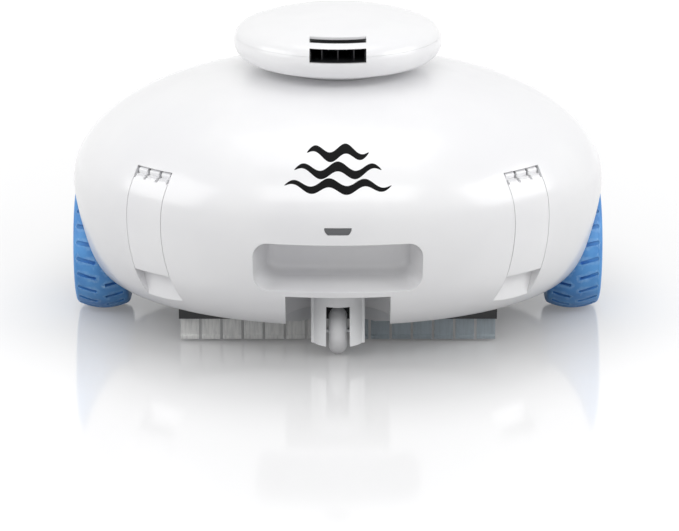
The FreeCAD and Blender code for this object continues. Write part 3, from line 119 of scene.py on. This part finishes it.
class Shading:
    """A material under construction: its node tree, with short calls for the nodes used here."""

    def __init__(self, name, roughness=0.4):
        self.material = bpy.data.materials.new(name)
        self.material.use_nodes = True
        self.tree = self.material.node_tree
        self.shader = self.tree.nodes["Principled BSDF"]
        self.shader.inputs["Roughness"].default_value = roughness
        self.place = self.add("ShaderNodeTexCoord").outputs["Object"]

    def add(self, kind, **values):
        node = self.tree.nodes.new(kind)
        for name, value in values.items():
            setattr(node, name, value)
        return node

    def link(self, source, target):
        self.tree.links.new(source, target)

    def set(self, **values):
        for name, value in values.items():
            self.shader.inputs[name.replace("_", " ")].default_value = value
        return self

    def noise(self, scale, detail=3.0, place=None):
        node = self.add("ShaderNodeTexNoise")
        node.inputs["Scale"].default_value = scale
        node.inputs["Detail"].default_value = detail
        self.link(place or self.place, node.inputs["Vector"])
        return node.outputs["Fac"]

    def ranged(self, source, low, high, out_low, out_high, smooth=False):
        node = self.add("ShaderNodeMapRange")
        if smooth:
            node.interpolation_type = "SMOOTHSTEP"
        for name, value in (("From Min", low), ("From Max", high), ("To Min", out_low), ("To Max", out_high)):
            node.inputs[name].default_value = value
        self.link(source, node.inputs["Value"])
        return node.outputs["Result"]

    def mix(self, share, first, second):
        """Colour first where share is 0, second where it is 1; each is a colour or a socket."""
        node = self.add("ShaderNodeMix", data_type="RGBA")
        for value, socket in ((first, node.inputs[6]), (second, node.inputs[7])):
            if hasattr(value, "is_linked"):
                self.link(value, socket)
            else:
                socket.default_value = value
        self.link(share, node.inputs[0])
        return node.outputs[2]

    def math(self, operation, first, second=0.5):
        node = self.add("ShaderNodeMath", operation=operation)
        for value, socket in ((first, node.inputs[0]), (second, node.inputs[1])):
            if hasattr(value, "is_linked"):
                self.link(value, socket)
            else:
                socket.default_value = value
        return node.outputs[0]

    def axis(self, name):
        """One coordinate of the place on the cleaner, in metres."""
        node = self.add("ShaderNodeSeparateXYZ")
        self.link(self.place, node.inputs[0])
        return node.outputs[name]

    def edges(self, low=0.51, high=0.6):
        """1 on worn outer edges, 0 on flat faces."""
        return self.ranged(self.add("ShaderNodeNewGeometry").outputs["Pointiness"], low, high, 0, 1)

    def colour(self, source):
        self.link(source, self.shader.inputs["Base Color"])
        return self

    def rough(self, source):
        self.link(source, self.shader.inputs["Roughness"])
        return self

    def relief(self, height, depth, strength=1.0, rounding=0.0):
        """Surface grain of the given depth in metres, over edges eased by a small radius."""
        bump = self.add("ShaderNodeBump")
        bump.inputs["Distance"].default_value = depth
        bump.inputs["Strength"].default_value = strength
        self.link(height, bump.inputs["Height"])
        if rounding:
            bevel = self.add("ShaderNodeBevel", samples=6)
            bevel.inputs["Radius"].default_value = rounding
            self.link(bevel.outputs[0], bump.inputs["Normal"])
        self.link(bump.outputs[0], self.shader.inputs["Normal"])
        return self


def moulded(name, colour, roughness=(0.3, 0.4), shade=0.96, grain=1400, depth=0.01 * MM, rounding=0.0,
            **sockets):
    """Moulded plastic: faint cloudy tone, uneven gloss and a fine grain from the mould."""
    finish = Shading(name)
    darker = tuple(c * shade for c in colour[:3]) + (1.0,)
    cloud = finish.ranged(finish.noise(14, 4), *CLOUDS, 0, 1, smooth=True)
    finish.colour(finish.mix(cloud, darker, colour))
    finish.rough(finish.ranged(finish.noise(55, 5), *GLOSS, *roughness))
    finish.relief(finish.noise(grain, 2), depth, 0.6, rounding)
    finish.set(**sockets)
    return finish


# ------------------------------------------------------------------ materials of the outside
def white_shell():
    """Glossy white shell: clear-coated, with the faint waviness of a large moulding."""
    finish = Shading("white_shell_gloss")
    white, cooler = linear(242, 242, 243), linear(237, 237, 239)
    finish.colour(finish.mix(finish.ranged(finish.noise(9, 4), *CLOUDS, 0, 1, smooth=True), cooler, white))
    finish.rough(finish.ranged(finish.noise(40, 5), *GLOSS, 0.29, 0.38))
    finish.relief(finish.noise(900, 2), 0.006 * MM, 0.5, 0.7 * MM)
    finish.set(Coat_Weight=0.7, Coat_Roughness=0.14, IOR=1.46)
    return finish.material


def grey_caster():
    return moulded("caster_grey_plastic", linear(236, 237, 238), (0.34, 0.44), 0.97, 1100, 0.02 * MM,
                   0.4 * MM).material


def roller_rubber():
    return moulded("roller_pale_rubber", linear(240, 240, 241), (0.32, 0.42), 0.96, 1800, 0.03 * MM).material


def blue_tyre():
    """Blue rubber tread, paler and duller along its worn edges, with a cloudy, deeper blue tone."""
    finish = Shading("tyre_blue_rubber")
    blue, deep, worn = linear(92, 158, 222), linear(76, 140, 208), linear(164, 205, 242)
    body = finish.mix(finish.ranged(finish.noise(60, 4), *CLOUDS, 0, 1, smooth=True), deep, blue)
    finish.colour(finish.mix(finish.edges(0.52, 0.62), body, worn))
    finish.rough(finish.ranged(finish.noise(120, 5), *GLOSS, 0.42, 0.58))
    finish.relief(finish.noise(2200, 3), 0.03 * MM, 0.7, 0.3 * MM)
    finish.set(IOR=1.48)
    return finish.material


def blue_hub():
    return moulded("hub_blue_plastic", linear(96, 160, 220), (0.3, 0.42), 0.95, 1200, 0.012 * MM,
                   0.35 * MM).material


def black_plastic():
    return moulded("black_plastic_satin", linear(26, 27, 29), (0.3, 0.45), 0.8, 1300, 0.015 * MM,
                   0.2 * MM).material


def flap_rubber():
    """Silver-grey flaps, with painted light and shade across the row: lit warm silver on the left, shaded
    blue-grey on the right.
    """
    finish = Shading("flap_silver_rubber")
    silver, painted_shade_slate = linear(232, 232, 230), linear(160, 171, 178)
    # painted light and shade: the left of the row is painted as lit silver, the right as shaded blue-grey
    painted_light_side = finish.ranged(finish.axis("X"), -0.01, 0.01, 0, 1, smooth=True)
    body = finish.mix(painted_light_side, silver, painted_shade_slate)
    streak = finish.add("ShaderNodeMapping")
    streak.inputs["Scale"].default_value = (1.0, 1.0, 0.12)
    finish.link(finish.place, streak.inputs["Vector"])
    streaks = finish.noise(700, 3, streak.outputs[0])
    rubbed = finish.ranged(streaks, 0.4, 0.7, 0, 0.25)
    finish.colour(finish.mix(rubbed, body, linear(120, 124, 128)))
    finish.rough(finish.ranged(streaks, *GLOSS, 0.3, 0.5))
    finish.relief(streaks, 0.02 * MM, 0.6, 0.25 * MM)
    return finish.material


def grey_rubber():
    return moulded("seal_grey_rubber", linear(88, 92, 96), (0.5, 0.65), 0.9, 1500, 0.03 * MM).material


def tray_plastic():
    return moulded("tray_grey_plastic", linear(222, 223, 225), (0.36, 0.48), 0.96, 800, 0.03 * MM,
                   0.3 * MM).material


def steel():
    """Brushed stainless steel with fine lines along X, the way the pins are turned."""
    finish = Shading("pin_stainless_steel")
    lines = finish.add("ShaderNodeMapping")
    lines.inputs["Scale"].default_value = (1.0, 0.08, 0.08)
    finish.link(finish.place, lines.inputs["Vector"])
    brushed = finish.noise(2600, 3, lines.outputs[0])
    finish.colour(finish.mix(brushed, linear(176, 178, 181), linear(206, 208, 210)))
    finish.rough(finish.ranged(brushed, *GLOSS, 0.29, 0.4))
    finish.relief(brushed, 0.006 * MM, 0.5, 0.1 * MM)
    finish.set(Metallic=1.0)
    return finish.material


def motor_metal():
    return moulded("motor_zinc_plate", linear(168, 170, 174), (0.3, 0.45), 0.9, 600, 0.02 * MM,
                   Metallic=1.0).material


def acetal():
    return moulded("acetal_cream", linear(228, 226, 218), (0.32, 0.44), 0.96, 1500, 0.01 * MM,
                   0.15 * MM).material


def inner_plastic():
    return moulded("inner_plastic_grey", linear(70, 73, 78), (0.45, 0.6), 0.9, 700, 0.04 * MM,
                   0.2 * MM).material


def cell_wrap():
    """Blue shrink wrap around the battery cells."""
    return moulded("cell_wrap_film", linear(52, 96, 150), (0.25, 0.4), 0.85, 300, 0.02 * MM).material


def circuit_board():
    """Green solder mask with rows of paler tracks."""
    finish = Shading("board_solder_mask")
    tracks = finish.add("ShaderNodeTexWave", wave_type="BANDS", bands_direction="DIAGONAL")
    tracks.inputs["Scale"].default_value = 220
    tracks.inputs["Distortion"].default_value = 3.0
    finish.link(finish.place, tracks.inputs["Vector"])
    finish.colour(finish.mix(finish.ranged(tracks.outputs["Fac"], 0.55, 0.6, 0, 1), linear(18, 84, 52),
                             linear(64, 138, 92)))
    finish.rough(finish.ranged(finish.noise(90), *GLOSS, 0.28, 0.42))
    finish.relief(tracks.outputs["Fac"], 0.03 * MM)
    return finish.material


def mesh_fabric():
    """Fine woven filter gauze: dark threads crossing at right angles."""
    finish = Shading("filter_gauze")
    weaves = []
    for direction in ("X", "Y"):
        threads = finish.add("ShaderNodeTexWave", wave_type="BANDS", bands_direction=direction)
        threads.inputs["Scale"].default_value = 420
        finish.link(finish.place, threads.inputs["Vector"])
        weaves.append(threads.outputs["Fac"])
    weave = finish.math("MAXIMUM", *weaves)
    finish.colour(finish.mix(weave, linear(48, 52, 58), linear(132, 138, 146)))
    finish.rough(finish.ranged(weave, 0, 1, 0.8, 0.55))
    finish.relief(weave, 0.1 * MM)
    return finish.material


def smoked_lens():
    return moulded("status_lens_smoked", linear(62, 64, 68), (0.08, 0.16), 0.85, 500, 0.004 * MM,
                   Coat_Weight=1.0, Coat_Roughness=0.05).material


def ink():
    """Matt screen-printed black, slightly uneven in cover."""
    return moulded("printed_black_ink", linear(10, 10, 11), (0.5, 0.62), 0.7, 1600, 0.008 * MM,
                   IOR=1.2).material


SLOT_FINISHES = {
    "white_shell": white_shell, "grey_caster": grey_caster, "blue_tyre": blue_tyre, "blue_hub": blue_hub,
    "black_plastic": black_plastic, "flap_rubber": flap_rubber, "grey_rubber": grey_rubber,
    "tray_plastic": tray_plastic, "steel": steel, "motor_metal": motor_metal, "cell_wrap": cell_wrap,
    "circuit_board": circuit_board, "mesh_fabric": mesh_fabric, "acetal": acetal,
    "inner_plastic": inner_plastic,
}
NODE_FINISHES = {"status_lens": smoked_lens, "caster_roller": roller_rubber}


def finish_cad_nodes():
    """Give every CAD node the finish of its material slot, or one of its own."""
    slots = {part["node"]: part["material_slot"] for part in frame["record"]["subparts"]}
    made = {}
    for name, thing in NODES.items():
        maker = NODE_FINISHES.get(name) or SLOT_FINISHES[slots[name]]
        if maker not in made:
            made[maker] = maker()
        for material_slot in thing.material_slots:
            material_slot.material = made[maker]


# ------------------------------------------------------------------ printed waves on the front
def on_shell(tree, x, z, lift):
    """The point of the dome in front of (x, z), moved out along its normal."""
    hit, normal, _, _ = tree.ray_cast(Vector((x, FRONT - RAY_START, z)), Vector((0, 1, 0)))
    return hit + normal * lift


def wave_print(ink_material):
    """A generic water print: three wavy strokes with pointed ends, shorter towards the top."""
    tree = BVHTree.FromObject(NODES["dome_cover"], bpy.context.evaluated_depsgraph_get())
    mesh = bmesh.new()
    steps, rows = PRINT_STEPS, PRINT_ROWS
    for height, half, swell, crests in PRINT_WAVES:
        grid = []
        for i in range(steps + 1):
            along = i / steps
            x = -half + 2 * half * along
            taper = math.sin(math.pi * along) ** 0.6
            middle = height + swell * math.sin(2 * math.pi * crests * along)
            thick = PRINT_STROKE * taper + PRINT_POINT
            grid.append([on_shell(tree, x, middle + thick * (j / rows - 0.5), PRINT_LIFT)
                         for j in range(rows + 1)])
        top = [[mesh.verts.new(p) for p in column] for column in grid]
        low = [[mesh.verts.new(p + Vector((0, PRINT_SUNK, 0))) for p in column] for column in grid]
        for i in range(steps):
            for j in range(rows):
                mesh.faces.new((top[i][j], top[i + 1][j], top[i + 1][j + 1], top[i][j + 1]))
                mesh.faces.new((low[i][j], low[i][j + 1], low[i + 1][j + 1], low[i + 1][j]))
            mesh.faces.new((top[i][0], low[i][0], low[i + 1][0], top[i + 1][0]))
            mesh.faces.new((top[i][rows], top[i + 1][rows], low[i + 1][rows], low[i][rows]))
        for j in range(rows):
            mesh.faces.new((top[0][j], top[0][j + 1], low[0][j + 1], low[0][j]))
            mesh.faces.new((top[steps][j], low[steps][j], low[steps][j + 1], top[steps][j + 1]))
    bmesh.ops.recalc_face_normals(mesh, faces=mesh.faces)
    data = bpy.data.meshes.new("wave_print")
    mesh.to_mesh(data)
    mesh.free()
    data.materials.append(ink_material)
    thing = bpy.data.objects.new("wave_print", data)
    bpy.context.scene.collection.objects.link(thing)
    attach(thing, "chassis")


# ------------------------------------------------------------------ floor, light, camera
def floor():
    """A pale, polished floor that shows the cleaner's shadow, partly real and partly painted as a weaker glow
    near it, and a soft reflection.
    """
    bpy.ops.mesh.primitive_plane_add(size=FLOOR_SIZE)
    thing = bpy.context.object
    thing.name = "floor"
    material = bpy.data.materials.new("floor_pale_gloss")
    material.use_nodes = True
    tree = material.node_tree
    tree.nodes.clear()
    path = tree.nodes.new("ShaderNodeLightPath")
    diffuse = tree.nodes.new("ShaderNodeBsdfDiffuse")
    glow_and_painted_shadow = tree.nodes.new("ShaderNodeEmission")
    glow_and_painted_shadow.inputs["Color"].default_value = (1, 1, 1, 1)
    seen = tree.nodes.new("ShaderNodeMath")
    seen.operation = "ADD"
    seen.use_clamp = True
    tree.links.new(path.outputs["Is Camera Ray"], seen.inputs[0])
    tree.links.new(path.outputs["Is Glossy Ray"], seen.inputs[1])
    also = tree.nodes.new("ShaderNodeMath")
    also.operation = "ADD"
    also.use_clamp = True
    tree.links.new(seen.outputs[0], also.inputs[0])
    tree.links.new(path.outputs["Is Transmission Ray"], also.inputs[1])
    strength = tree.nodes.new("ShaderNodeMath")
    strength.operation = "MULTIPLY"
    tree.links.new(also.outputs[0], strength.inputs[0])
    place = tree.nodes.new("ShaderNodeTexCoord")
    reach = tree.nodes.new("ShaderNodeVectorMath")
    reach.operation = "LENGTH"
    tree.links.new(place.outputs["Object"], reach.inputs[0])
    total = tree.nodes.new("ShaderNodeMath")
    # painted shadow: the glow is weaker near the cleaner and grows with distance from it
    for index, (near, far, low, high) in enumerate(FLOOR_GLOW_PAINTED_SHADOW):
        painted_shadow_fade = tree.nodes.new("ShaderNodeMapRange")
        painted_shadow_fade.interpolation_type = "SMOOTHSTEP"
        for name, value in (("From Min", near), ("From Max", far), ("To Min", low), ("To Max", high)):
            painted_shadow_fade.inputs[name].default_value = value
        tree.links.new(reach.outputs["Value"], painted_shadow_fade.inputs["Value"])
        tree.links.new(painted_shadow_fade.outputs[0], total.inputs[index])
    tree.links.new(total.outputs[0], strength.inputs[1])
    tree.links.new(strength.outputs[0], glow_and_painted_shadow.inputs["Strength"])
    tone = tree.nodes.new("ShaderNodeMix")
    tone.data_type = "RGBA"
    tone.inputs[6].default_value = FLOOR_BOUNCE
    tone.inputs[7].default_value = FLOOR_SEEN
    tree.links.new(also.outputs[0], tone.inputs[0])
    tree.links.new(tone.outputs[2], diffuse.inputs["Color"])
    lit = tree.nodes.new("ShaderNodeAddShader")
    tree.links.new(diffuse.outputs[0], lit.inputs[0])
    tree.links.new(glow_and_painted_shadow.outputs[0], lit.inputs[1])
    gloss = tree.nodes.new("ShaderNodeBsdfGlossy")
    gloss.inputs["Roughness"].default_value = FLOOR_BLUR
    gloss.inputs["Color"].default_value = (1, 1, 1, 1)
    blend = tree.nodes.new("ShaderNodeMixShader")
    blend.inputs[0].default_value = FLOOR_POLISH
    tree.links.new(lit.outputs[0], blend.inputs[1])
    tree.links.new(gloss.outputs[0], blend.inputs[2])
    out = tree.nodes.new("ShaderNodeOutputMaterial")
    tree.links.new(blend.outputs[0], out.inputs["Surface"])
    thing.data.materials.append(material)


def world():
    """Soft white surroundings: plain white where seen or mirrored, dimmer as light."""
    scene = bpy.context.scene
    scene.world = bpy.data.worlds.new("studio")
    scene.world.use_nodes = True
    tree = scene.world.node_tree
    background = tree.nodes["Background"]
    background.inputs["Color"].default_value = (1, 1, 1, 1)
    path = tree.nodes.new("ShaderNodeLightPath")
    total = path.outputs["Is Camera Ray"]
    for ray in ("Is Glossy Ray", "Is Transmission Ray"):
        add = tree.nodes.new("ShaderNodeMath")
        add.operation = "ADD"
        add.use_clamp = True
        tree.links.new(total, add.inputs[0])
        tree.links.new(path.outputs[ray], add.inputs[1])
        total = add.outputs[0]
    level = tree.nodes.new("ShaderNodeMapRange")
    level.inputs["To Min"].default_value = SURROUNDINGS_LIGHT
    level.inputs["To Max"].default_value = 1.0
    tree.links.new(total, level.inputs["Value"])
    tree.links.new(level.outputs[0], background.inputs["Strength"])


def soft_light(name, place, width, depth, power):
    data = bpy.data.lights.new(name, "AREA")
    data.shape = "RECTANGLE"
    data.size, data.size_y = width, depth
    data.energy = power
    thing = bpy.data.objects.new(name, data)
    thing.location = place
    thing.rotation_euler = (Vector(LAMP_TARGET) - Vector(place)).to_track_quat("-Z", "Y").to_euler()
    bpy.context.scene.collection.objects.link(thing)


def camera():
    """The viewing angle: in front, looking down at about 18 degrees from 2.4 m away."""
    data = bpy.data.cameras.new("camera")
    data.sensor_width = CAMERA_SENSOR
    data.lens = CAMERA_LENS
    thing = bpy.data.objects.new("camera", data)
    thing.location = CAMERA_PLACE
    thing.rotation_euler = (math.radians(90 - CAMERA_DOWN), 0, math.radians(CAMERA_TURN))
    bpy.context.scene.collection.objects.link(thing)
    bpy.context.scene.camera = thing


finish_cad_nodes()
wave_print(ink())
floor()
world()
for lamp in LAMPS:
    soft_light(*lamp)
camera()
bpy.context.scene.view_settings.view_transform = "Standard"
